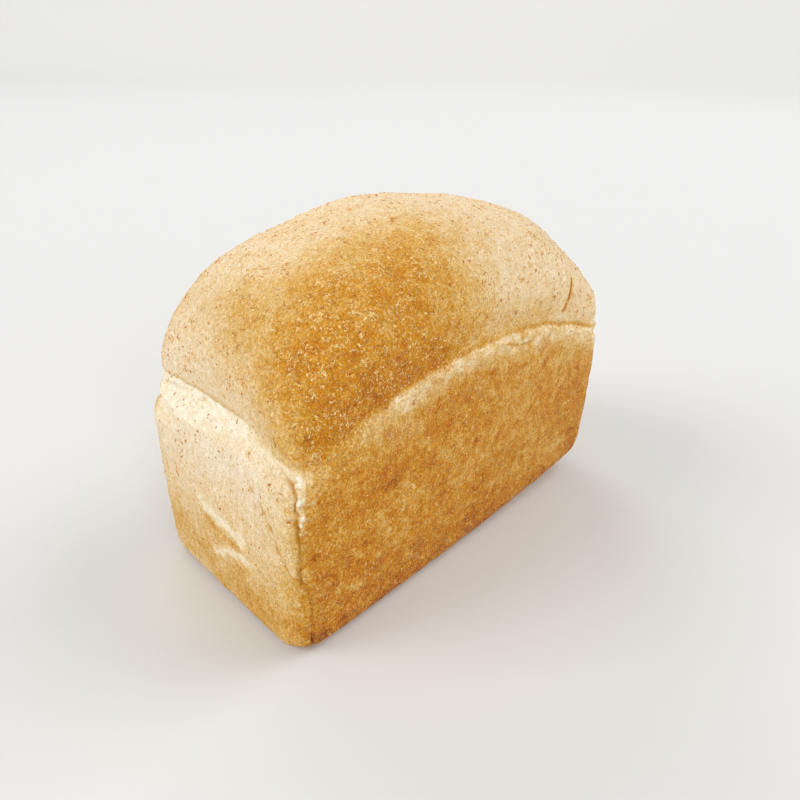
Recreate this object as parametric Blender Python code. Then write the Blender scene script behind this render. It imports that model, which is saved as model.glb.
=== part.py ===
"""A wholemeal loaf baked in an open tin: straight walls that the tin shaped, a torn band where
the dough sprang over the tin's rim, and a rounded crown that rose above it.

X runs along the loaf and Y across it. The end at -X and the side at -Y are its show faces.
Z is up. The flat base lies on Z = 0, and the origin is the middle of the loaf's footprint.
"""

import math

import bmesh
import bpy
from mathutils import Vector, noise

# The walls, in metres, as the tin shaped them.
BASE_LENGTH = 0.190
BASE_WIDTH = 0.095
END_LEAN = -0.0042  # how far an end stands out at the rim, and less than 0 is in
SIDE_LEAN = 0.0015
WALL_BELLY = 0.0012  # how far a wall's middle swells past its straight line
BASE_CORNER_RADIUS = 0.012
RIM_CORNER_RADIUS = 0.009
BASE_EDGE_NEAR = 0.006  # the rounding under the end at -X
BASE_EDGE_FAR = 0.0180  # the rounding under the end at +X, where the dough didn't fill the tin

# The torn band's height.
RIM_FRONT_CORNERS = 0.073
RIM_BACK_CORNERS = 0.078
RIM_SIDES = 0.097
RIM_ENDS = 0.0765
SIDE_ARCH = 2.2  # 2 arches the band along a side as a parabola, and more flattens its middle

# The band's cut. Each row gives its value at the corners, mid-side and mid-end.
SHELF_RUN = (0.0010, 0.0020, 0.0050)  # how far the shelf behind the walls' lip runs in
SHELF_CLIMB = (0.0020, 0.0040, 0.0050)  # and how far it climbs
OVERHANG = (0.0004, 0.0012, 0.0030)  # how far the crown swells out again over the crease
OVERHANG_REACH = 0.14  # the share of the crown's sweep over which it does
LIP_RADIUS = 0.0010

# The crown. A fullness of 2 sweeps it up as an ellipse, and more makes it boxier.
LOAF_HEIGHT = 0.1439
CROWN_FAR_INSET = 0.002  # how much further in than the near end its far end stands
NEAR_FULLNESS = 1.9
FAR_FULLNESS = 2.25
SIDE_FULLNESS = 2.75

# The crown's rings, seen from above: corners that grow rounder, and then ovals.
CORNER_GROWTH = 0.8  # 1 grows the radius evenly up the crown, and less grows it early
MOST_ROUNDED = 0.96  # the most of a ring's half size that its corner radius takes
FOOT_SQUARENESS = 8.0  # 2 is an ellipse and more fills the corners
TOP_SQUARENESS = 2.2
OVAL_GROWTH = 0.5
OVAL_REACH = 0.5  # the share of the crown's sweep over which corners ease into ovals

# The crown's three low lobes, where the pieces of dough proved together.
LOBE_SPACING = 0.057
LOBE_HEIGHT = 0.0008
LOBE_MIDDLE = -0.006  # where along the loaf the middle lobe stands

# The dough's unevenness. The lumps fade out towards the flat base, and the lobes at the rim.
LUMP_SIZE = 0.045
LUMP_FADE = 0.024
LOBE_FADE = 0.032
WALL_LUMPS = 0.0005
CROWN_LUMPS = 0.0007

# The mesh: columns round the loaf, and rings from the base to the top.
SIDE_COLUMNS = 30
END_COLUMNS = 16
CORNER_COLUMNS = 6
EDGE_RINGS = 4
WALL_RINGS = 9
BAND_RINGS = 3
CROWN_RINGS = 20

SHARP_ANGLE = math.radians(50)

CRUST_COLOUR = (0.56, 0.29, 0.075, 1.0)
CRUST_ROUGHNESS = 0.62


def main():
    clear_scene()
    loaf = bpy.data.objects.new("loaf", loaf_mesh())
    loaf.data.materials.append(crust_material())
    bpy.context.scene.collection.objects.link(loaf)


def clear_scene():
    for thing in list(bpy.data.objects):
        bpy.data.objects.remove(thing)


def crust_material():
    material = bpy.data.materials.new("baked_crust")
    material.use_nodes = True
    shader = material.node_tree.nodes["Principled BSDF"]
    shader.inputs["Base Color"].default_value = CRUST_COLOUR
    shader.inputs["Roughness"].default_value = CRUST_ROUGHNESS
    return material


def outline(half_length, half_width, radius):
    """The columns' places on a rectangle with round corners, anticlockwise from (-X, -Y)."""
    centres = [
        Vector((side_x * (half_length - radius), side_y * (half_width - radius)))
        for side_x, side_y in ((-1, -1), (1, -1), (1, 1), (-1, 1))
    ]
    places = []
    for corner, centre in enumerate(centres):
        # Each corner turns from the wall before it to the wall after it.
        first_angle = math.pi + corner * math.pi / 2
        for step in range(CORNER_COLUMNS):
            angle = first_angle + math.pi / 2 * step / CORNER_COLUMNS
            places.append(centre + radius * Vector((math.cos(angle), math.sin(angle))))
        wall_angle = first_angle + math.pi / 2
        out = radius * Vector((math.cos(wall_angle), math.sin(wall_angle)))
        columns = SIDE_COLUMNS if corner % 2 == 0 else END_COLUMNS
        for step in range(columns):
            places.append(centre.lerp(centres[(corner + 1) % 4], step / columns) + out)
    return places


def around(place, values):
    """A value that runs smoothly from the corners to the middles of the sides and ends."""
    corner, side, end = values
    along, across = place
    return corner + (side - corner) * (1 - along**2) + (end - corner) * (1 - across**4)


def blend(low, high, share):
    return low + (high - low) * share


class Section:
    """The upright cut through the loaf at one column: what stands how far out, and how high."""

    def __init__(self, column, place):
        along, across = place
        self.column = column
        self.along = along
        self.across = across
        self.far = (along + 1) / 2
        corner = blend(RIM_FRONT_CORNERS, RIM_BACK_CORNERS, (across + 1) / 2)
        arch = (RIM_SIDES - corner) * (1 - abs(along) ** SIDE_ARCH)
        end_arch = (RIM_ENDS - corner) * (1 - across**2) * along**4
        self.rim = corner + arch + end_arch
        self.run = around(place, SHELF_RUN)
        self.climb = around(place, SHELF_CLIMB)
        self.overhang = around(place, OVERHANG)
        self.edge = blend(BASE_EDGE_NEAR, BASE_EDGE_FAR, self.far**3)

    def wall(self, height, inset=0.0):
        """The point of the wall at a height, moved in by an inset."""
        rise = height / RIM_SIDES
        belly = WALL_BELLY * 4 * rise * (1 - rise) - inset
        half_length = BASE_LENGTH / 2 + END_LEAN * rise + belly
        half_width = BASE_WIDTH / 2 + SIDE_LEAN * rise + belly
        radius = blend(BASE_CORNER_RADIUS, RIM_CORNER_RADIUS, rise)
        place = outline(half_length, half_width, radius)[self.column]
        return Vector((*place, height))

    def base_edge(self, share):
        angle = math.pi / 2 * share
        height = self.edge * (1 - math.cos(angle))
        return self.wall(height, self.edge * (1 - math.sin(angle)))

    def tin_wall(self, share):
        return self.wall(blend(self.edge, self.rim - LIP_RADIUS, share))

    def band(self, share):
        """The lip, the shelf behind it and the crease at the crown's foot."""
        lip = LIP_RADIUS * min(1.0, 2 * share)
        height = self.rim - LIP_RADIUS + lip + self.climb * share**2
        return self.wall(height, self.run * share)

    def crown(self, sweep):
        """The crown, from the crease at 0 to the top of the loaf at 1."""
        swell = self.overhang * (1 - max(0.0, 1 - sweep / OVERHANG_REACH) ** 2) - self.run
        half_length = BASE_LENGTH / 2 + END_LEAN + swell - CROWN_FAR_INSET * self.far
        half_width = BASE_WIDTH / 2 + SIDE_LEAN + swell
        angle = math.pi / 2 * sweep
        half_length *= math.cos(angle) ** (2 / blend(NEAR_FULLNESS, FAR_FULLNESS, self.far))
        half_width *= math.cos(angle) ** (2 / SIDE_FULLNESS)
        radius = blend(RIM_CORNER_RADIUS, half_width, sweep**CORNER_GROWTH)
        radius = min(radius, MOST_ROUNDED * half_width, MOST_ROUNDED * half_length)
        round_place = outline(half_length, half_width, radius)[self.column]
        square = blend(FOOT_SQUARENESS, TOP_SQUARENESS, sweep**OVAL_GROWTH)
        reach = (abs(self.along) ** square + abs(self.across) ** square) ** (1 / square)
        oval_place = Vector((half_length * self.along, half_width * self.across)) / reach
        place = round_place.lerp(oval_place, min(1.0, sweep / OVAL_REACH))
        foot = self.rim + self.climb
        height = blend(foot, LOAF_HEIGHT, math.sin(angle) ** (2 / SIDE_FULLNESS))
        return Vector((*place, height))


def loaf_rings():
    """The rings of points that the loaf's skin is stretched over, from the base up."""
    half_length = BASE_LENGTH / 2 + END_LEAN
    half_width = BASE_WIDTH / 2 + SIDE_LEAN
    rim_places = outline(half_length, half_width, RIM_CORNER_RADIUS)
    sections = [
        Section(column, (place.x / half_length, place.y / half_width))
        for column, place in enumerate(rim_places)
    ]
    rings = []
    for stage, count in (
        (Section.base_edge, EDGE_RINGS),
        (Section.tin_wall, WALL_RINGS),
        (Section.band, BAND_RINGS),
        (Section.crown, CROWN_RINGS),
    ):
        for step in range(count):
            rings.append([stage(section, step / count) for section in sections])
    return rings


def loaf_mesh():
    """Draws the flat base, extrudes its edge up through every ring and closes the crown."""
    rings = loaf_rings()
    shape = bmesh.new()
    column_of = shape.verts.layers.int.new("column")
    for column, point in enumerate(rings[0]):
        shape.verts.new(point)[column_of] = column
    edge = shape.faces.new(shape.verts).edges[:]
    for ring in rings[1:]:
        extruded = bmesh.ops.extrude_edge_only(shape, edges=edge)["geom"]
        for part in extruded:
            if isinstance(part, bmesh.types.BMVert):
                part.co = ring[part[column_of]]
        edge = [part for part in extruded if isinstance(part, bmesh.types.BMEdge) and part.is_boundary]
    cap = bmesh.ops.edgeloop_fill(shape, edges=edge)["faces"]
    top = bmesh.ops.poke(shape, faces=cap)["verts"][0]
    top.co.z = LOAF_HEIGHT
    bmesh.ops.recalc_face_normals(shape, faces=shape.faces)
    add_lumps(shape)
    centre_on_base(shape)
    mesh = bpy.data.meshes.new("loaf")
    shape.to_mesh(mesh)
    shape.free()
    mesh.shade_smooth()
    mesh.set_sharp_from_angle(angle=SHARP_ANGLE)
    return mesh


def add_lumps(shape):
    """Raises the crown's lobes, and swells and sinks the skin a little above its flat base."""
    shape.normal_update()
    shifts = {}
    for corner in shape.verts:
        height = corner.co.z
        crown = min(1.0, max(0.0, (height - RIM_SIDES) / LOBE_FADE))
        lobe = math.cos(math.tau * (corner.co.x - LOBE_MIDDLE) / LOBE_SPACING)
        lump = noise.noise(corner.co / LUMP_SIZE) * min(1.0, height / LUMP_FADE)
        size = crown * LOBE_HEIGHT * lobe + blend(WALL_LUMPS, CROWN_LUMPS, crown) * lump
        shifts[corner] = corner.normal * size
    for corner, shift in shifts.items():
        corner.co += shift


def centre_on_base(shape):
    """Puts the middle of the loaf's footprint on the origin."""
    for axis in (0, 1):
        places = [corner.co[axis] for corner in shape.verts]
        middle = (min(places) + max(places)) / 2
        for corner in shape.verts:
            corner.co[axis] -= middle


main()
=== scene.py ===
"""A wholemeal loaf baked in an open tin, standing on a pale studio floor.

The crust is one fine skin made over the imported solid, with bran flakes and pale crust flakes
baked onto it. X runs along the loaf, Y across it and Z up, in metres. The end at -X and the
side at -Y are its show faces.
"""

import math

import bmesh
import bpy
import numpy as np
from mathutils import Euler, Matrix, Vector, noise


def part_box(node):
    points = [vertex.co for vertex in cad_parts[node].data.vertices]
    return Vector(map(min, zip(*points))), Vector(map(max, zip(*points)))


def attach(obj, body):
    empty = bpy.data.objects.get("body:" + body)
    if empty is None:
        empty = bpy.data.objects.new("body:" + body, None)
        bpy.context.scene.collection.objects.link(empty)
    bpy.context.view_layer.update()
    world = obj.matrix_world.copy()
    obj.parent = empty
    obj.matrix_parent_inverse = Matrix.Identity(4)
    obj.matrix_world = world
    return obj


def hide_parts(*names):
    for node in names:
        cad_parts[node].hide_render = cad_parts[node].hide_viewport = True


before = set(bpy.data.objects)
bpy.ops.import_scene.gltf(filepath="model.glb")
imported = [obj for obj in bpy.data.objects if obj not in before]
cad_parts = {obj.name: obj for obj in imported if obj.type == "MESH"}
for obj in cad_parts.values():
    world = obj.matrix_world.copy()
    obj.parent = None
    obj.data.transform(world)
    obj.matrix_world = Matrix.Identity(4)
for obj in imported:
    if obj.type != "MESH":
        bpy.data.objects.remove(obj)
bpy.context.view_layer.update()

# ---------------------------------------------------------------------------------------------
# The crust's skin. Dough that rose in an open tin: straight walls up to the tin's rim, a torn
# band there, and a free crown above. It is one skin, so it is the solid's own faces merged into
# quads, rounded off and made fine enough to hold the relief that follows.
WELD = 0.00001
TALL_EDGE = 0.0065
low_corner, high_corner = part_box("loaf")
half_length = high_corner.x
half_width = high_corner.y

skin = bmesh.new()
skin.from_mesh(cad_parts["loaf"].data)
bmesh.ops.remove_doubles(skin, verts=skin.verts, dist=WELD)
base_faces = [face for face in skin.faces if all(corner.co.z < WELD for corner in face.verts)]
bmesh.ops.dissolve_faces(skin, faces=base_faces)
bmesh.ops.join_triangles(
    skin,
    faces=[face for face in skin.faces if len(face.verts) == 3],
    angle_face_threshold=math.radians(60),
    angle_shape_threshold=math.pi,
)


def is_tall(edge):
    rise = abs(edge.verts[0].co.z - edge.verts[1].co.z)
    return edge.calc_length() > TALL_EDGE and rise > 0.8 * edge.calc_length()


bmesh.ops.subdivide_edges(skin, edges=[edge for edge in skin.edges if is_tall(edge)], cuts=1)
coarse = bpy.data.meshes.new("coarse_skin")
skin.to_mesh(coarse)
skin.free()
crust = bpy.data.objects.new("crust", coarse)
bpy.context.scene.collection.objects.link(crust)
rounding = crust.modifiers.new("rounding", "SUBSURF")
rounding.levels = 2
rounding.render_levels = 2
rounded = crust.evaluated_get(bpy.context.evaluated_depsgraph_get())
crust.data = bpy.data.meshes.new_from_object(rounded)
crust.modifiers.clear()
crust.data.name = "crust"

# ---------------------------------------------------------------------------------------------
# The torn band and the crust's relief. The dough stuck to the rim and stretched as it sprang,
# so a pale, stringy band runs round the loaf, and the near corner tore down the wall below it.
RIM_FRONT_CORNERS = 0.073
RIM_BACK_CORNERS = 0.078
RIM_SIDES = 0.097
RIM_ENDS = 0.0765
SIDE_ARCH = 2.2
EDGE_GAP = 0.0007

# Paths at the near corner: (way round it from the end to the side, height).
UPPER_CREASE = ((-0.0225, 0.0680), (-0.0205, 0.0600))
CORNER_CREASE = (
    (-0.0172, 0.0640),
    (-0.0125, 0.0570),
    (-0.0095, 0.0520),
    (-0.0080, 0.0470),
    (-0.0034, 0.0420),
    (0.0033, 0.0360),
    (0.0057, 0.0310),
)
CORNER_TEAR = (
    (-0.0064, 0.0785),
    (0.0006, 0.0765),
    (0.0027, 0.0730),
    (0.0016, 0.0652),
    (0.0023, 0.0570),
    (0.0020, 0.0484),
    (0.0012, 0.0380),
    (0.0040, 0.0330),
)
FOOT_NOTCH = ((0.0050, 0.0320), (0.0062, 0.0240), (0.0050, 0.0150), (0.0044, 0.0020))
TEAR_LUMPS = (
    (0.0036, 0.0775, 0.0021),
    (0.0042, 0.0722, 0.0024),
    (0.0046, 0.0664, 0.0019),
    (0.0086, 0.0704, 0.0012),
)
# Paths on the near side: (way along the loaf, height).
# Along the crest slit the crust is pushed in and also painted darker as the shadow under the lip above it.
CREST_SLIT = ((0.0140, 0.0948), (0.0215, 0.0918), (0.0300, 0.0908))
CROWN_CRACK = ((0.0612, 0.1100), (0.0585, 0.1035), (0.0545, 0.0972))
CROWN_FOLD = ((0.0440, 0.1080), (0.0446, 0.0985))
WALL_BLEMISH = ((0.0436, 0.0790), (0.0416, 0.0764))
WALL_BLOTCH = ((-0.0500, 0.0600), (-0.0440, 0.0625))
WALL_STREAKS = (
    ((-0.0700, 0.0420), (-0.0640, 0.0330)),
    ((-0.0640, 0.0400), (-0.0560, 0.0300)),
    ((-0.0560, 0.0500), (-0.0500, 0.0370)),
    ((-0.0740, 0.0260), (-0.0660, 0.0200)),
    ((-0.0420, 0.0560), (-0.0340, 0.0480)),
)
# Paths on the near end: (way across the loaf, height).
UPPER_SCUFF = ((0.0100, 0.0425), (0.0030, 0.0418), (-0.0060, 0.0395), (-0.0155, 0.0385))
LOWER_SCUFF = ((0.0040, 0.0210), (-0.0040, 0.0270), (-0.0110, 0.0290), (-0.0210, 0.0310))
GOLDEN_PATCH = ((0.0080, 0.0365), (0.0000, 0.0330), (-0.0125, 0.0345))


def ease(low, high, value):
    share = min(1.0, max(0.0, (value - low) / (high - low)))
    return share * share * (3 - 2 * share)


def hump(middle, width, value):
    return math.exp(-(((value - middle) / width) ** 2))


def rim_height(place):
    """The height of the tin's rim on the wall that this place is nearest to."""
    along = min(1.0, abs(place.x) / half_length)
    across = max(-1.0, min(1.0, place.y / half_width))
    corner = RIM_FRONT_CORNERS + (RIM_BACK_CORNERS - RIM_FRONT_CORNERS) * (across + 1) / 2
    arch = (RIM_SIDES - corner) * (1 - along**SIDE_ARCH)
    return corner + arch + (RIM_ENDS - corner) * (1 - across**2) * along**4


def round_corner(place):
    """How far a place lies round the near corner: below 0 on the end, above 0 on the side."""
    return (place.x + half_length) - (place.y + half_width)


def gap_to(path, way, height):
    """The distance from a spot on a wall to a path on it."""
    nearest = 1.0
    spot = Vector((way, height))
    for start, end in zip(path, path[1:]):
        start = Vector(start)
        run = Vector(end) - start
        share = max(0.0, min(1.0, (spot - start).dot(run) / run.length_squared))
        nearest = min(nearest, (spot - start - run * share).length)
    return nearest


def on_path(path, width, way, height):
    """1 on a path and fading to 0 away from it."""
    return hump(0.0, width, gap_to(path, way, height))


def way_round(path, height):
    """Where along the way round the corner a path stands at a height."""
    ways, heights = zip(*path[::-1])
    return float(np.interp(height, heights, ways))


def by_near_corner(place, reach):
    return abs(round_corner(place)) < reach and place.x < 0 and place.y < 0


def needs_detail(face):
    """The torn places, where the relief is finer than the rest of the skin."""
    place = face.calc_center_median()
    above = place.z - rim_height(place)
    at_corner = by_near_corner(place, 0.016) and 0.034 < place.z < 0.084
    at_foot = by_near_corner(place, 0.010) and 0.001 < place.z <= 0.034
    at_crest = 0.008 < place.x < 0.082 and place.y < -0.040 and -0.0070 < above < 0.0030
    at_end_band = place.x < -0.075 and -0.001 < above < 0.0080
    at_crack = 0.051 < place.x < 0.064 and place.y < -0.030 and 0.096 < place.z < 0.111
    return at_corner or at_foot or at_crest or at_end_band or at_crack


relief = bmesh.new()
relief.from_mesh(crust.data)
# No shelf formed where the crown slumped over the near corner.
slumped = [
    corner
    for corner in relief.verts
    if by_near_corner(corner.co, 0.026)
    and 0.068 < corner.co.z < 0.094
    or corner.co.x > 0.078
    and corner.co.y < -0.034
    and -0.004 < corner.co.z - rim_height(corner.co) < 0.014
]
for _ in range(24):
    bmesh.ops.smooth_vert(
        relief, verts=slumped, factor=0.5, use_axis_x=True, use_axis_y=True, use_axis_z=True
    )
fine_edges = {edge for face in relief.faces if needs_detail(face) for edge in face.edges}
bmesh.ops.subdivide_edges(relief, edges=list(fine_edges), cuts=1, use_grid_fill=True)
relief.normal_update()

bake_and_light_layer = relief.verts.layers.float.new("bake_and_painted_light")
torn_layer = relief.verts.layers.float.new("torn")
crack_layer = relief.verts.layers.float.new("crack")
risen_layer = relief.verts.layers.float.new("risen")
for corner in relief.verts:
    place = corner.co.copy()
    facing = corner.normal.copy()
    above = place.z - rim_height(place)
    crown = ease(0.0015, 0.0035, above)
    wall = 1 - ease(-0.002, 0.003, above)
    off_base = ease(0.0, 0.006, place.z)
    side = facing.y**2 / max(1e-6, facing.x**2 + facing.y**2)
    near_side = side if facing.y < 0 else 0.0
    near_end = (1 - side) if facing.x < 0 else 0.0
    far_end = (1 - side) if facing.x > 0 else 0.0
    at_corner = place.x < 0 and place.y < 0
    slump = ease(0.030, 0.014, abs(round_corner(place))) if at_corner else 0.0
    coarse_noise = noise.noise(place / 0.009)
    blotch = noise.noise(place / 0.0045)
    small_noise = noise.noise(place / 0.0020)

    push = 0.00026 * blotch + 0.00016 * small_noise
    push += crown * 0.00030 * noise.noise(place / 0.011) + wall * 0.00025 * coarse_noise
    push -= wall * 0.0003 * ease(0.25, 0.5, noise.noise(place / 0.006 + Vector((7, 3, 1))))
    bulge = ease(-0.0020, 0.004, above) * (1 - ease(0.012, 0.034, above))
    push += 0.0020 * min(1.0, 1.6 * far_end) * bulge - 0.0003
    push += 0.0056 * min(near_side, far_end) * bulge

    # The band on the sides: a rolled lip under a sharp crease, fading towards the near corner.
    strand = noise.noise(Vector((place.x / 0.0022, place.y / 0.0022, place.z / 0.009)))
    length_wobble = 0.0035 * (coarse_noise + 0.6 * blotch)
    edge = above + 0.0012 * noise.noise(place / 0.007) + 0.0005 * small_noise
    if place.y < 0:
        band_share = 0.12 + 0.88 * ease(-0.070, -0.040, place.x)
        crest = ease(0.006, 0.018, place.x) * (1 - ease(0.044, 0.052, place.x))
        crest = max(crest, 0.75 * ease(0.052, 0.060, place.x) * (1 - ease(0.074, 0.084, place.x)))
    else:
        band_share = 0.5 + 0.5 * ease(-0.7, 0.3, noise.noise(place / 0.030))
        crest = ease(0.0, 0.5, noise.noise(place / 0.026 + Vector((0, 4, 0))))
    roll = side * (0.35 * band_share + crest) * (0.7 + 0.8 * coarse_noise + 0.6 * blotch)
    push += 0.00150 * roll * hump(-0.0018, 0.0019, edge)
    push -= 0.00050 * side * band_share * hump(0.0016, 0.0008, edge)
    push += 0.00010 * strand * side * ease(-0.012, -0.002, above) * wall
    paled = ease(-0.0120 - 0.0040 * crest, -0.0010, edge) * (1 - ease(0.0006, 0.0016, edge))
    paled *= side * band_share
    pale_side = ease(-0.0092 - 0.0040 * crest + length_wobble, -0.0012, edge)
    pale_side *= 1 - ease(0.0006, 0.0016, edge)
    pale_side *= side * band_share * (0.48 + 0.30 * strand + 0.32 * small_noise + 0.34 * blotch)
    dusting = 0.30 * side * ease(-0.024, -0.004, above) * ease(-0.1, 0.5, coarse_noise + strand)
    pale_side = max(pale_side, dusting * band_share * wall)

    # The band on the ends: a hollow of stretched, pitted dough above the wall's edge.
    ends = (1 - side) * (1 - slump)
    pits = noise.noise(Vector((place.x / 0.004, place.y / 0.0030, place.z / 0.0016)))
    hollow = ease(-0.0015, 0.001, above) * (1 - ease(0.0050, 0.0085, above))
    push += ends * hollow * (0.00060 * pits + 0.00030 * small_noise)
    push += 0.00050 * ends * hump(-0.0010, 0.0016, above)
    push -= 0.00120 * ends * hump(0.0046, 0.0014, above)
    end_edge = above + 0.0008 * blotch + 0.0005 * small_noise
    broad = ease(-0.024, 0.034, place.y)
    pale_end = ease(-0.0022 - 0.0050 * broad, 0.0010 - 0.0030 * broad, end_edge)
    pale_end *= (1 - ease(0.0046, 0.0064, end_edge)) * (0.92 + 0.45 * pits + 0.25 * small_noise)
    pale_end *= (1 - side) * (1 - 0.75 * slump)
    # The wall's back corner broke away with the tin, a little below the rim.
    chipped = ease(-0.076, -0.086, place.x) * ease(0.022, 0.040, place.y)
    chipped *= ease(-0.0105, -0.0070, above + 0.0008 * blotch) * (1 - ease(0.0005, 0.0030, above))
    push -= 0.0034 * chipped
    pale_end = max(pale_end, chipped * (0.8 + 0.4 * small_noise))
    wrinkle = noise.noise(Vector((place.y / 0.022, 2.0, place.z / 0.0024)))
    push += 0.00014 * wrinkle * near_end * ease(0.050, 0.060, place.z) * wall

    torn = max(pale_side, pale_end)
    crack = 0.0
    # A thin darker line along the crease under the crown on the ends: partly the crown's browned edge, partly
    # painted shade in the crease.
    mark_and_shade = near_end * (1 - slump) * 0.16 * hump(0.0070, 0.0010, end_edge)
    gold = 0.0
    if slump > 0 and place.z < 0.090:
        way = round_corner(place) + 0.0012 * blotch + 0.0007 * small_noise
        broken = ease(-0.35, 0.15, blotch)
        tear = on_path(CORNER_TEAR, 0.0006, way, place.z) * (0.45 + 0.55 * broken)
        crease = on_path(CORNER_CREASE, 0.0008, way, place.z)
        crease = max(crease, on_path(UPPER_CREASE, 0.0008, way, place.z)) * broken
        notch = on_path(FOOT_NOTCH, 0.0008, way, place.z)
        left = way_round(CORNER_CREASE, place.z)
        right = way_round(CORNER_TEAR, place.z)
        strip = 0.0
        if left < way < right and 0.033 < place.z:
            strip = math.sin(math.pi * (way - left) / (right - left)) ** 0.7
            strip *= 1 - ease(0.070, 0.082, place.z)
        lumps = max(
            math.exp(-(((way - middle) ** 2 + (place.z - height) ** 2) / radius**2))
            for middle, height, radius in TEAR_LUMPS
        )
        ripple = 0.6 + 0.5 * noise.noise(Vector((way / 0.0030, 0, place.z / 0.0016)))
        lip = hump(right + 0.0024, 0.0015, way) * ease(0.056, 0.064, place.z) * ripple
        lip *= 1 - ease(0.0765, 0.0790, place.z)
        ragged = noise.noise(Vector((way / 0.0015, 3.0, place.z / 0.0013)))
        ridge = hump(right + 0.0016, 0.0012, way) * ease(0.056, 0.062, place.z)
        ridge *= (1 - ease(0.0770, 0.0790, place.z)) * max(0.0, 0.45 + 1.1 * ragged)
        lumps = max(lumps, 0.85 * ridge) * (0.70 + 1.1 * small_noise)
        opening = ease(0.014, 0.003, place.z)
        push += 0.0014 * lumps + 0.0005 * lip - 0.0010 * tear - 0.0004 * crease
        push += 0.0008 * strip - notch * (0.0006 + 0.0018 * opening)
        torn = max(torn, min(1.0, 1.3 * lumps), 0.55 * lip, 0.35 * strip * (0.6 + blotch))
        crack = max(tear * (0.75 + small_noise), 0.85 * crease)
        mark_and_shade = notch * (0.12 + 0.25 * opening)
        gold = 0.10 * strip + 0.06 * hump(0.002, 0.010, way)
    if near_side > 0.5:
        slit = on_path(CREST_SLIT, 0.0009, place.x, place.z)
        split = on_path(CROWN_CRACK, 0.00055, place.x + 0.0005 * blotch, place.z)
        fold = on_path(CROWN_FOLD, 0.0007, place.x + 0.0005 * blotch, place.z)
        blemish = on_path(WALL_BLEMISH, 0.0008, place.x + 0.0004 * small_noise, place.z)
        way = place.x + 0.0014 * blotch
        blemish = max(blemish, 0.6 * on_path(WALL_BLOTCH, 0.0022, way, place.z))
        streak = max(on_path(path, 0.0011, way, place.z) for path in WALL_STREAKS)
        push -= 0.0009 * slit + 0.0004 * split + 0.0004 * fold
        push += 0.0004 * on_path(CROWN_CRACK, 0.0013, place.x - 0.0026, place.z)
        # The slit's darkening is a painted shadow under the lip above it.
        mark_and_shade = max(mark_and_shade, 0.24 * slit, 0.85 * split, 0.12 * fold, 0.35 * blemish)
        mark_and_shade -= 0.24 * ease(0.1, 1.0, streak * (1 + strand + small_noise))
        torn *= 1 - 0.8 * max(slit, split)
    if near_end > 0.5 and place.z < 0.060:
        across = place.y + 0.0016 * blotch
        high = place.z + 0.0018 * noise.noise(place / 0.0045 + Vector((2, 0, 0)))
        scuff = on_path(UPPER_SCUFF, 0.0040, across, high)
        scuff = max(scuff, 0.80 * on_path(LOWER_SCUFF, 0.0030, across, high))
        golden = on_path(GOLDEN_PATCH, 0.0030, across, high)
        push -= 0.0002 * golden - 0.0001 * scuff
        torn = max(torn, 0.85 * ease(0.08, 1.0, scuff * (1 + 0.5 * small_noise + 0.4 * blotch)))
        mark_and_shade = max(mark_and_shade, 0.22 * golden)
    corner.co += facing * push * off_base
    # No shelf shows at the far corner of the near side.
    filled = ease(0.068, 0.084, place.x) * ease(-0.026, -0.040, place.y)
    corner.co += Vector((0.7, -0.7, 0.0)) * 0.0011 * filled * hump(0.0008, 0.0022, above)
    corner.co.x = max(EDGE_GAP - half_length, min(half_length - EDGE_GAP, corner.co.x))
    corner.co.y = max(EDGE_GAP - half_width, min(half_width - EDGE_GAP, corner.co.y))
    corner.co.z = min(high_corner.z - EDGE_GAP, corner.co.z)

    # How far the crust is baked, from 0 at cream to 1 at brown, with the painted sheen and painted shade noted
    # below folded in.
    side_bake_and_shade = 0.640 - 0.04 * ease(0.055, 0.085, place.z)
    side_bake_and_shade -= 0.06 * ease(-0.020, 0.020, place.x)
    # The side darkens towards its foot: partly darker crust, partly a painted shadow along the foot.
    side_bake_and_shade += 0.12 * (1 - ease(0.006, 0.030, place.z)) + 0.10 * (1 - ease(0.0, 0.016, place.z))
    # Painted shade: the side darkens towards its far edge, where it rounds away from the light.
    side_bake_and_shade += 0.12 * ease(0.064, 0.084, place.x) * (1 - ease(0.040, 0.070, place.z))
    end_bake = 0.04 + 0.15 * (1 - ease(0.045, 0.075, place.z))
    end_bake += 0.21 * (1 - ease(0.012, 0.050, place.z)) - 0.09 * (1 - ease(0.0, 0.020, place.z))
    end_bake += 0.12 * (1 - ease(0.004, 0.034, place.z)) * ease(0.030, 0.010, abs(place.y + 0.012))
    end_bake += 0.05 * ease(-0.026, -0.042, place.y)
    far_bake = 0.42 + 0.16 * (1 - ease(0.006, 0.040, place.z))
    browned_and_painted_light = side_bake_and_shade * side + end_bake * near_end + far_bake * far_end
    # The crown is paler on its top and on its upper part over the near end: partly paler crust, partly a painted
    # sheen.
    if place.y < 0:
        steep = 1 - ease(-0.040, 0.010, place.y)
    else:
        steep = ease(0.026, 0.046, place.y)
    steep = max(steep, 0.10 + 0.52 * hump(-0.080, 0.015, place.x) * ease(0.040, -0.010, place.y))
    behind = ease(-0.010, 0.030, place.y)
    shielded_and_sheen = ease(-0.078 + 0.034 * behind, -0.094, place.x) * ease(-0.046, -0.014, place.y)
    patch = ease(0.020, -0.038, place.x + 0.004 * coarse_noise) * (1 - 0.62 * shielded_and_sheen)
    crown_bake_and_sheen = 0.16 + 0.47 * patch * steep * (1 - 0.25 * behind)
    crown_bake_and_sheen -= 0.05 * ease(-0.076, -0.090, place.x) * ease(-0.040, -0.024, place.y)
    near_band = near_end * (1 - ease(0.006, 0.028, above)) * ease(-0.052, -0.034, place.y)
    crown_bake_and_sheen -= 0.22 * near_band * patch
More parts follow.
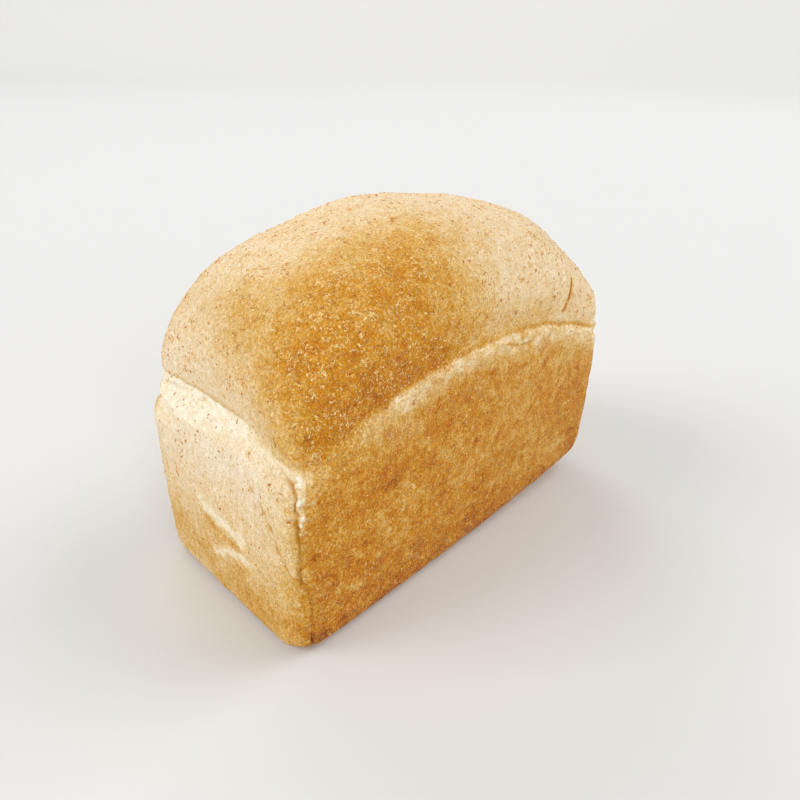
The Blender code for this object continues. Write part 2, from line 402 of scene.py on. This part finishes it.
    # The crown just above the side's band is darker: partly browner crust, partly painted shade in the crease
    # under the crown's overhang.
    low_crown_shade_and_browning = side * (1 - ease(0.002, 0.024, above))
    crown_bake_and_sheen += 0.22 * low_crown_shade_and_browning * (1 - 0.6 * patch) * (1 - 0.6 * ease(0.034, 0.050, place.x))
    browned_and_painted_light += (crown_bake_and_sheen - browned_and_painted_light) * crown
    if facing.z < -0.5:
        browned_and_painted_light = 0.70
    spots = ease(0.30, 0.55, noise.noise(place / 0.0042 + Vector((5, 1, 9))))
    browned_and_painted_light += 0.14 * wall * spots * (1 - near_end) - 0.17 * paled
    corner[bake_and_light_layer] = browned_and_painted_light + mark_and_shade + gold * (0.36 - browned_and_painted_light) / 0.36 * wall
    corner[torn_layer] = max(0.0, min(1.0, torn))
    corner[crack_layer] = max(0.0, min(1.0, crack))
    corner[risen_layer] = crown
relief.to_mesh(crust.data)
relief.free()
crust.data.shade_smooth()

# ---------------------------------------------------------------------------------------------
# The crust's colour: cream where the tin shielded it, through gold, to brown where the oven caught it, with fine
# pale strokes and brown bran all over. The same tone also holds a painted sheen on the crown's top and painted
# shade low on the walls and in creases, and each pale curl has a painted shadow.
BAKE_STEPS = (
    (0.00, (244, 230, 206)),
    (0.20, (233, 206, 163)),
    (0.40, (217, 173, 96)),
    (0.60, (200, 136, 20)),
    (0.80, (184, 104, 6)),
    (1.00, (142, 72, 10)),
)
THIN_DUSTING = (238, 210, 142)
TORN_DOUGH = (250, 242, 222)
PALE_STROKE = (236, 193, 96)
BRAN = (170, 92, 22)
CURL = (246, 214, 148)
# Painted shadow along one edge of each pale curl.
CURL_SHADOW = (152, 80, 16)
TEAR_GROOVE = (206, 146, 52)


def paint(red, green, blue):
    """A colour as printed charts give it, in the linear values that shaders take."""
    return [*(((part / 255 + 0.055) / 1.055) ** 2.4 for part in (red, green, blue)), 1.0]


def node(tree, kind, inputs, **settings):
    made = tree.nodes.new(kind)
    for name, value in settings.items():
        setattr(made, name, value)
    for socket, value in inputs.items():
        if isinstance(value, bpy.types.NodeSocket):
            tree.links.new(value, made.inputs[socket])
        else:
            made.inputs[socket].default_value = value
    return made


def window(tree, value, low, high):
    """A mask that rises smoothly from 0 at one value to 1 at another."""
    made = node(
        tree,
        "ShaderNodeMapRange",
        {"Value": value, "From Min": low, "From Max": high},
        interpolation_type="SMOOTHSTEP",
    )
    return made.outputs["Result"]


def maths(tree, operation, first, second):
    return node(tree, "ShaderNodeMath", {0: first, 1: second}, operation=operation).outputs[0]


def mixed(tree, share, first, second, blend_type="MIX"):
    made = node(
        tree,
        "ShaderNodeMix",
        {0: share, 6: first, 7: second},
        data_type="RGBA",
        blend_type=blend_type,
    )
    return made.outputs[2]


def grain(tree, spot, size, detail=2.0, roughness=0.5, distortion=0.0):
    """Noise whose features are about this many metres across."""
    made = node(
        tree,
        "ShaderNodeTexNoise",
        {
            "Vector": spot,
            "Scale": 1 / size,
            "Detail": detail,
            "Roughness": roughness,
            "Distortion": distortion,
        },
    )
    return made.outputs["Fac"]


crust_material = bpy.data.materials.new("baked_crust")
crust_material.use_nodes = True
tree = crust_material.node_tree
shader = tree.nodes["Principled BSDF"]
spot = tree.nodes.new("ShaderNodeTexCoord").outputs["Object"]
drawn = node(tree, "ShaderNodeMapping", {"Vector": spot, "Scale": (1.0, 1.0, 0.70)}).outputs[0]
bake_and_painted_light = node(tree, "ShaderNodeAttribute", {}, attribute_name="bake_and_painted_light").outputs["Fac"]
torn = node(tree, "ShaderNodeAttribute", {}, attribute_name="torn").outputs["Fac"]
crack = node(tree, "ShaderNodeAttribute", {}, attribute_name="crack").outputs["Fac"]
risen = node(tree, "ShaderNodeAttribute", {}, attribute_name="risen").outputs["Fac"]

patches = grain(tree, spot, 0.020, detail=2.0)
mottle = grain(tree, spot, 0.0042, detail=3.0, roughness=0.6)
fine = grain(tree, drawn, 0.0010, detail=3.0, roughness=0.75, distortion=0.5)
contrast = maths(tree, "ADD", maths(tree, "MULTIPLY", bake_and_painted_light, 1.25), 0.25)
contrast = maths(tree, "MULTIPLY", contrast, maths(tree, "SUBTRACT", 1.0, maths(tree, "MULTIPLY", risen, 0.20)))
bake_here = bake_and_painted_light
for speckle, weight in ((patches, 0.40), (mottle, 0.70), (fine, 1.05)):
    swing = maths(tree, "MULTIPLY", maths(tree, "SUBTRACT", speckle, 0.5), weight)
    bake_here = maths(tree, "ADD", bake_here, maths(tree, "MULTIPLY", swing, contrast))
ramp = node(tree, "ShaderNodeValToRGB", {"Fac": bake_here})
stops = ramp.color_ramp.elements
while len(stops) < len(BAKE_STEPS):
    stops.new(0.5)
for stop, (place, colour) in zip(stops, BAKE_STEPS):
    stop.position = place
    stop.color = paint(*colour)
colour = ramp.outputs["Color"]

strokes = window(tree, grain(tree, drawn, 0.0010, 2.0, 0.6, 1.8), 0.56, 0.64)
stroke_zone = window(tree, grain(tree, spot, 0.0060, 2.0, 0.5), 0.30, 0.60)
stroke_share = maths(tree, "MULTIPLY", strokes, maths(tree, "MULTIPLY", stroke_zone, 0.62))
colour = mixed(tree, stroke_share, colour, paint(*PALE_STROKE))
bran = window(tree, grain(tree, spot, 0.0012, 2.0, 0.5, 0.8), 0.62, 0.70)
bran_share = maths(tree, "MULTIPLY", bran, maths(tree, "MULTIPLY", contrast, 0.45))
colour = mixed(tree, bran_share, colour, paint(*BRAN))

# Blisters broke open into short pale curls, each with a painted shadow along one edge.
outline = maths(tree, "SUBTRACT", grain(tree, spot, 0.0024, 2.0, 0.5, 1.2), 0.5)
pieces = window(tree, grain(tree, spot, 0.0019, 1.0, 0.5), 0.48, 0.56)
clusters = window(tree, grain(tree, spot, 0.0070, 2.0, 0.6), 0.38, 0.58)
broken = maths(tree, "MULTIPLY", maths(tree, "ADD", maths(tree, "MULTIPLY", clusters, 0.75), 0.25), pieces)
broken = maths(tree, "MULTIPLY", broken, maths(tree, "ADD", maths(tree, "MULTIPLY", risen, 0.58), 0.42))
# The dark line beside each curl is a painted shadow.
shifted = maths(tree, "ABSOLUTE", maths(tree, "ADD", outline, 0.075), 0.0)
edges = maths(tree, "MULTIPLY", broken, window(tree, shifted, 0.040, 0.015))
curls = maths(tree, "MULTIPLY", broken, window(tree, maths(tree, "ABSOLUTE", outline, 0.0), 0.050, 0.022))
curl_shadow_share = maths(tree, "MULTIPLY", edges, maths(tree, "MULTIPLY", contrast, 0.80))
colour = mixed(tree, curl_shadow_share, colour, paint(*CURL_SHADOW))
colour = mixed(tree, maths(tree, "MULTIPLY", curls, 0.85), colour, paint(*CURL))
torn_noise = grain(tree, spot, 0.0022, detail=4.0, roughness=0.7)
torn_here = maths(tree, "MULTIPLY", torn, window(tree, torn_noise, 0.14, 0.50))
torn_colour = mixed(tree, torn_here, paint(*THIN_DUSTING), paint(*TORN_DOUGH))
colour = mixed(tree, torn_here, colour, torn_colour)
colour = mixed(tree, crack, colour, paint(*TEAR_GROOVE))
shade = maths(tree, "SUBTRACT", grain(tree, spot, 0.0007, detail=2.0, roughness=0.6), 0.5)
shade = maths(tree, "MULTIPLY", shade, maths(tree, "MULTIPLY", contrast, 1.6))
shade = maths(tree, "ADD", shade, 1.0)
shades = node(tree, "ShaderNodeCombineColor", {0: shade, 1: shade, 2: shade}).outputs[0]
colour = mixed(tree, 1.0, colour, shades, "MULTIPLY")
tree.links.new(colour, shader.inputs["Base Color"])

height = maths(tree, "ADD", fine, maths(tree, "MULTIPLY", strokes, 0.5))
height = maths(tree, "ADD", height, maths(tree, "MULTIPLY", curls, 0.4))
bump = node(
    tree,
    "ShaderNodeBump",
    {"Height": height, "Strength": 0.7, "Distance": 0.0006},
)
tree.links.new(bump.outputs["Normal"], shader.inputs["Normal"])
shader.inputs["Roughness"].default_value = 0.55
shader.inputs["Specular IOR Level"].default_value = 0.18
crust.data.materials.clear()
crust.data.materials.append(crust_material)
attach(crust, "root")
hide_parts("loaf")

# ---------------------------------------------------------------------------------------------
# Bran flakes and pale crust flakes. Coarse bran in the flour lies baked onto the crust as thin
# brown chips, and blistered crust curls up beside it as paler ones. Each kind is one piece.
skin_mesh = crust.data
skin_mesh.calc_loop_triangles()
triangle_count = len(skin_mesh.loop_triangles)
triangle_corners = np.zeros(triangle_count * 3, np.int32)
skin_mesh.loop_triangles.foreach_get("vertices", triangle_corners)
triangle_corners = triangle_corners.reshape(-1, 3)
skin_places = np.zeros(len(skin_mesh.vertices) * 3, np.float32)
skin_mesh.vertices.foreach_get("co", skin_places)
skin_places = skin_places.reshape(-1, 3)
triangle_areas = np.zeros(triangle_count, np.float32)
skin_mesh.loop_triangles.foreach_get("area", triangle_areas)
triangle_middles = skin_places[triangle_corners].mean(axis=1)


# Chips gather in drifts, where the dough's skin broke up as it rose.
drifts = np.array([noise.noise(Vector(middle) / 0.007) for middle in triangle_middles.tolist()])
drift_weights = 0.60 + 2.2 * np.clip((drifts + 0.05) / 0.4, 0, 1) ** 2


def plain_chip(bend):
    """A flat oval chip 1 long and 1 wide, bent sideways into a crescent."""
    shape = bmesh.new()
    bmesh.ops.create_icosphere(shape, subdivisions=1, radius=0.5)
    for corner in shape.verts:
        corner.co.y += bend * (4 * corner.co.x**2 - 0.5)
    mesh = bpy.data.meshes.new("plain_chip")
    shape.to_mesh(mesh)
    shape.free()
    return mesh


def scatter_chips(name, count, lengths, slimness, thickness, material, seed, shares):
    """Chips of random size lie flat on the crust, part sunk. Shares: on the crown, on the ends."""
    dice = np.random.default_rng(seed)
    shapes = [plain_chip(bend) for bend in (0.0, 0.5, -0.8, 1.2)]
    chips = bmesh.new()
    on_crown = np.clip((triangle_middles[:, 2] - 0.080) / 0.020, 0, 1)
    on_ends = (np.abs(triangle_middles[:, 0]) > 0.082) * (1 - on_crown)
    weights = triangle_areas * (1 + (shares[0] - 1) * on_crown) * (1 + (shares[1] - 1) * on_ends)
    weights = weights * drift_weights * (triangle_middles[:, 2] > 0.003)
    chosen = dice.choice(triangle_count, size=count, p=weights / weights.sum())
    for index in chosen:
        first, second, third = (Vector(skin_places[i]) for i in triangle_corners[index])
        portions = dice.dirichlet((1, 1, 1))
        place = first * portions[0] + second * portions[1] + third * portions[2]
        facing = (second - first).cross(third - first).normalized()
        lean = facing.to_track_quat("Z", "Y").to_matrix().to_4x4()
        tilt = Euler((dice.normal(0, 0.15), dice.normal(0, 0.15), dice.uniform(0, math.tau)))
        length = dice.uniform(*lengths) * dice.uniform(0.5, 1.0)
        width = length * dice.uniform(*slimness)
        depth = thickness * dice.uniform(0.6, 1.3)
        size = Matrix.Diagonal((length, width, depth, 1))
        chip = shapes[dice.integers(len(shapes))].copy()
        chip.transform(Matrix.Translation(place) @ lean @ tilt.to_matrix().to_4x4() @ size)
        chips.from_mesh(chip)
        bpy.data.meshes.remove(chip)
    for shape in shapes:
        bpy.data.meshes.remove(shape)
    for corner in chips.verts:
        corner.co += 0.00022 * noise.noise_vector(corner.co / 0.0007)
    bmesh.ops.recalc_face_normals(chips, faces=chips.faces)
    mesh = bpy.data.meshes.new(name)
    chips.to_mesh(mesh)
    chips.free()
    mesh.shade_smooth()
    mesh.materials.append(material)
    piece = bpy.data.objects.new(name, mesh)
    bpy.context.scene.collection.objects.link(piece)
    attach(piece, "root")


def chip_material(name, light, dark, roughness):
    material = bpy.data.materials.new(name)
    material.use_nodes = True
    tree = material.node_tree
    shader = tree.nodes["Principled BSDF"]
    spot = tree.nodes.new("ShaderNodeTexCoord").outputs["Object"]
    shade = window(tree, grain(tree, spot, 0.0030, 2.0, 0.6), 0.35, 0.65)
    tree.links.new(mixed(tree, shade, paint(*light), paint(*dark)), shader.inputs["Base Color"])
    shader.inputs["Roughness"].default_value = roughness
    shader.inputs["Specular IOR Level"].default_value = 0.25
    return material


bran_material = chip_material("bran", (222, 162, 86), (184, 112, 42), 0.6)
flake_material = chip_material("pale_crust_flake", (240, 206, 142), (222, 170, 90), 0.6)
scatter_chips("bran_flakes", 4800, (0.0005, 0.0022), (0.25, 0.65), 0.00030, bran_material, 11, (1.2, 0.45))
scatter_chips("pale_crust_flakes", 6000, (0.0007, 0.0020), (0.22, 0.55), 0.00030, flake_material, 12, (6.0, 0.4))

# ---------------------------------------------------------------------------------------------
# The studio: a pale floor, the daylight of a large window behind and to the left, a soft fill
# from the front, and a camera that looks down over the loaf's near corner.
FLOOR_RADIUS = 3.0
SWEEP = 1.5
sweep_steps = 8
floor_shape = bmesh.new()
profile = [floor_shape.verts.new((0, 0, 0))]
for step in range(sweep_steps + 1):
    angle = math.pi / 2 * step / sweep_steps
    reach = FLOOR_RADIUS + SWEEP * math.sin(angle)
    profile.append(floor_shape.verts.new((reach, 0, SWEEP * (1 - math.cos(angle)))))
for start, end in zip(profile, profile[1:]):
    floor_shape.edges.new((start, end))
bmesh.ops.spin(
    floor_shape,
    geom=profile + list(floor_shape.edges),
    cent=(0, 0, 0),
    axis=(0, 0, 1),
    angle=math.tau,
    steps=48,
    use_merge=True,
)
bmesh.ops.remove_doubles(floor_shape, verts=floor_shape.verts, dist=0.0001)
bmesh.ops.recalc_face_normals(floor_shape, faces=floor_shape.faces)
bmesh.ops.reverse_faces(floor_shape, faces=floor_shape.faces)
floor_mesh = bpy.data.meshes.new("studio_floor")
floor_shape.to_mesh(floor_mesh)
floor_shape.free()
floor_mesh.shade_smooth()
floor = bpy.data.objects.new("studio_floor", floor_mesh)
bpy.context.scene.collection.objects.link(floor)
floor_material = bpy.data.materials.new("studio_floor")
floor_material.use_nodes = True
floor_shader = floor_material.node_tree.nodes["Principled BSDF"]
floor_shader.inputs["Base Color"].default_value = paint(214, 214, 212)
floor_shader.inputs["Roughness"].default_value = 0.9
floor_mesh.materials.append(floor_material)

world = bpy.data.worlds.new("studio_air")
world.use_nodes = True
sky = world.node_tree.nodes["Background"]
seen = world.node_tree.nodes.new("ShaderNodeLightPath").outputs["Is Camera Ray"]
daylight = mixed(world.node_tree, seen, (0.93, 0.96, 1.0, 1.0), (1.60, 1.60, 1.58, 1.0))
world.node_tree.links.new(daylight, sky.inputs["Color"])
sky.inputs["Strength"].default_value = 0.48
bpy.context.scene.world = world
bpy.context.scene.view_settings.view_transform = "Standard"


def soft_light(name, place, spread, strength, colour):
    """Even light from far off in the direction of a place, as wide as its spread in degrees."""
    light = bpy.data.lights.new(name, "SUN")
    light.angle = math.radians(spread)
    light.energy = strength
    light.color = colour
    lamp = bpy.data.objects.new(name, light)
    lamp.location = place
    lamp.rotation_euler = Vector(place).to_track_quat("Z", "Y").to_euler()
    bpy.context.scene.collection.objects.link(lamp)


soft_light("window", (-1.15, 0.75, 0.95), 35, 1.37, (1.0, 0.98, 0.96))
soft_light("right_window", (1.1, -0.5, 1.25), 35, 1.12, (1.0, 0.98, 0.97))
soft_light("front_fill", (-0.65, -1.35, 0.75), 40, 1.40, (1.0, 0.97, 0.92))
soft_light("back_fill", (0.5, 1.4, 0.85), 40, 0.85, (1.0, 0.98, 0.96))

camera = bpy.data.cameras.new("camera")
camera.sensor_width = 36.0
camera.lens = 29.38
camera.clip_start = 0.01
viewer = bpy.data.objects.new("camera", camera)
viewer.location = (-0.18317, -0.18364, 0.20097)
viewer.rotation_euler = (math.radians(60.632), math.radians(-0.851), math.radians(-44.952))
bpy.context.scene.collection.objects.link(viewer)
bpy.context.scene.camera = viewer
